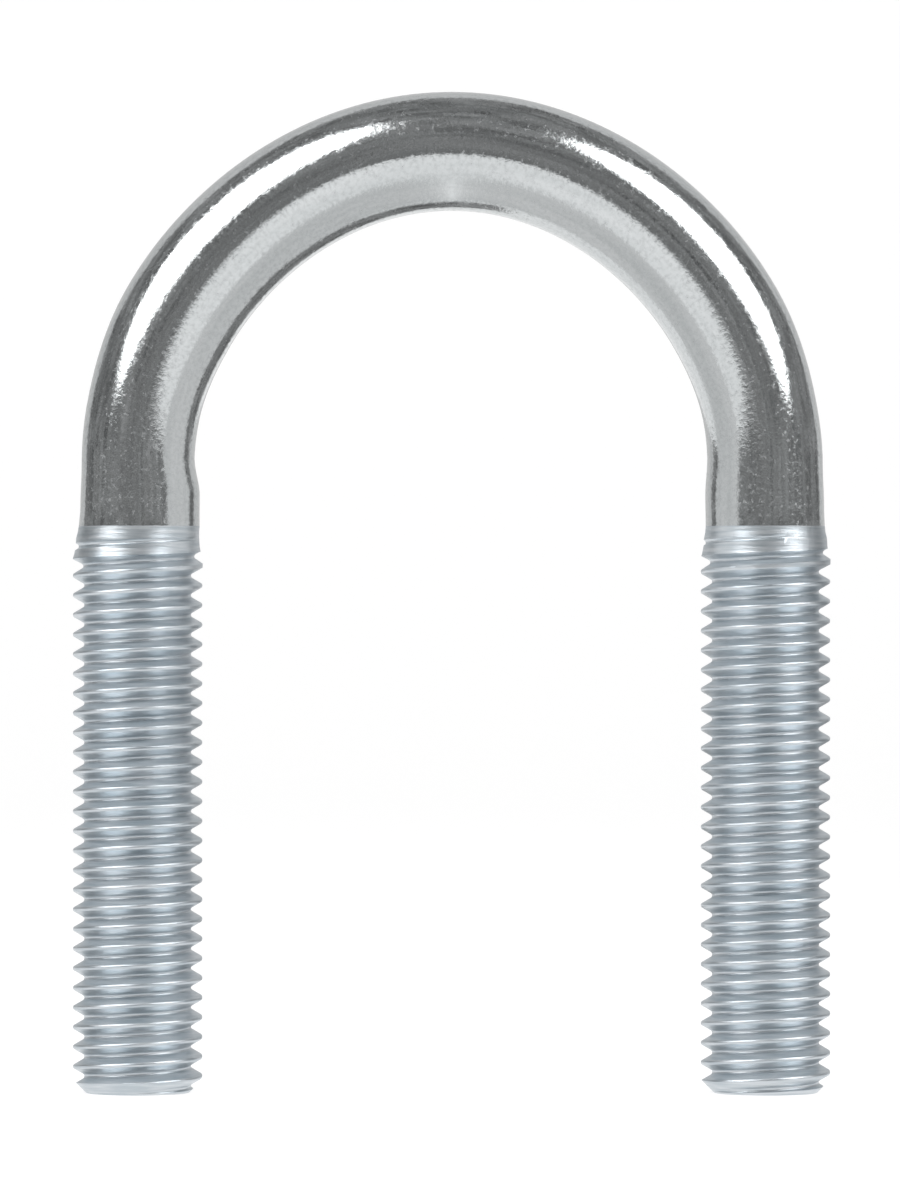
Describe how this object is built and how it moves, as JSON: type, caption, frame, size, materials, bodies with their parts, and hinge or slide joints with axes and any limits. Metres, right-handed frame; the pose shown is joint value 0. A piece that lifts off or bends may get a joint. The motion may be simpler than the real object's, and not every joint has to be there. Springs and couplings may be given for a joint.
{
  "type": "u-bolt",
  "caption": "Round-bow U-bolt of zinc-plated steel rod with an M10 thread on each leg, used as a bolt-through pad eye or pipe clamp.",
  "frame": {"origin": "centre of the bend, midway between the legs' axes, on the axis of the pipe, rope or pin that the bow holds", "axes": "+Z from the bend's centre to the crown of the bow, so the legs point to -Z; X from leg to leg; Y along the held pipe"},
  "size_m": [0.0579, 0.0098, 0.0764],
  "materials": {
    "zinc_plated_steel": "bright zinc plating with a clear blue passivation, satin, finely pitted"
  },
  "bodies": {
    "root": {"u_bolt": "zinc_plated_steel"}
  },
  "joints": []
}
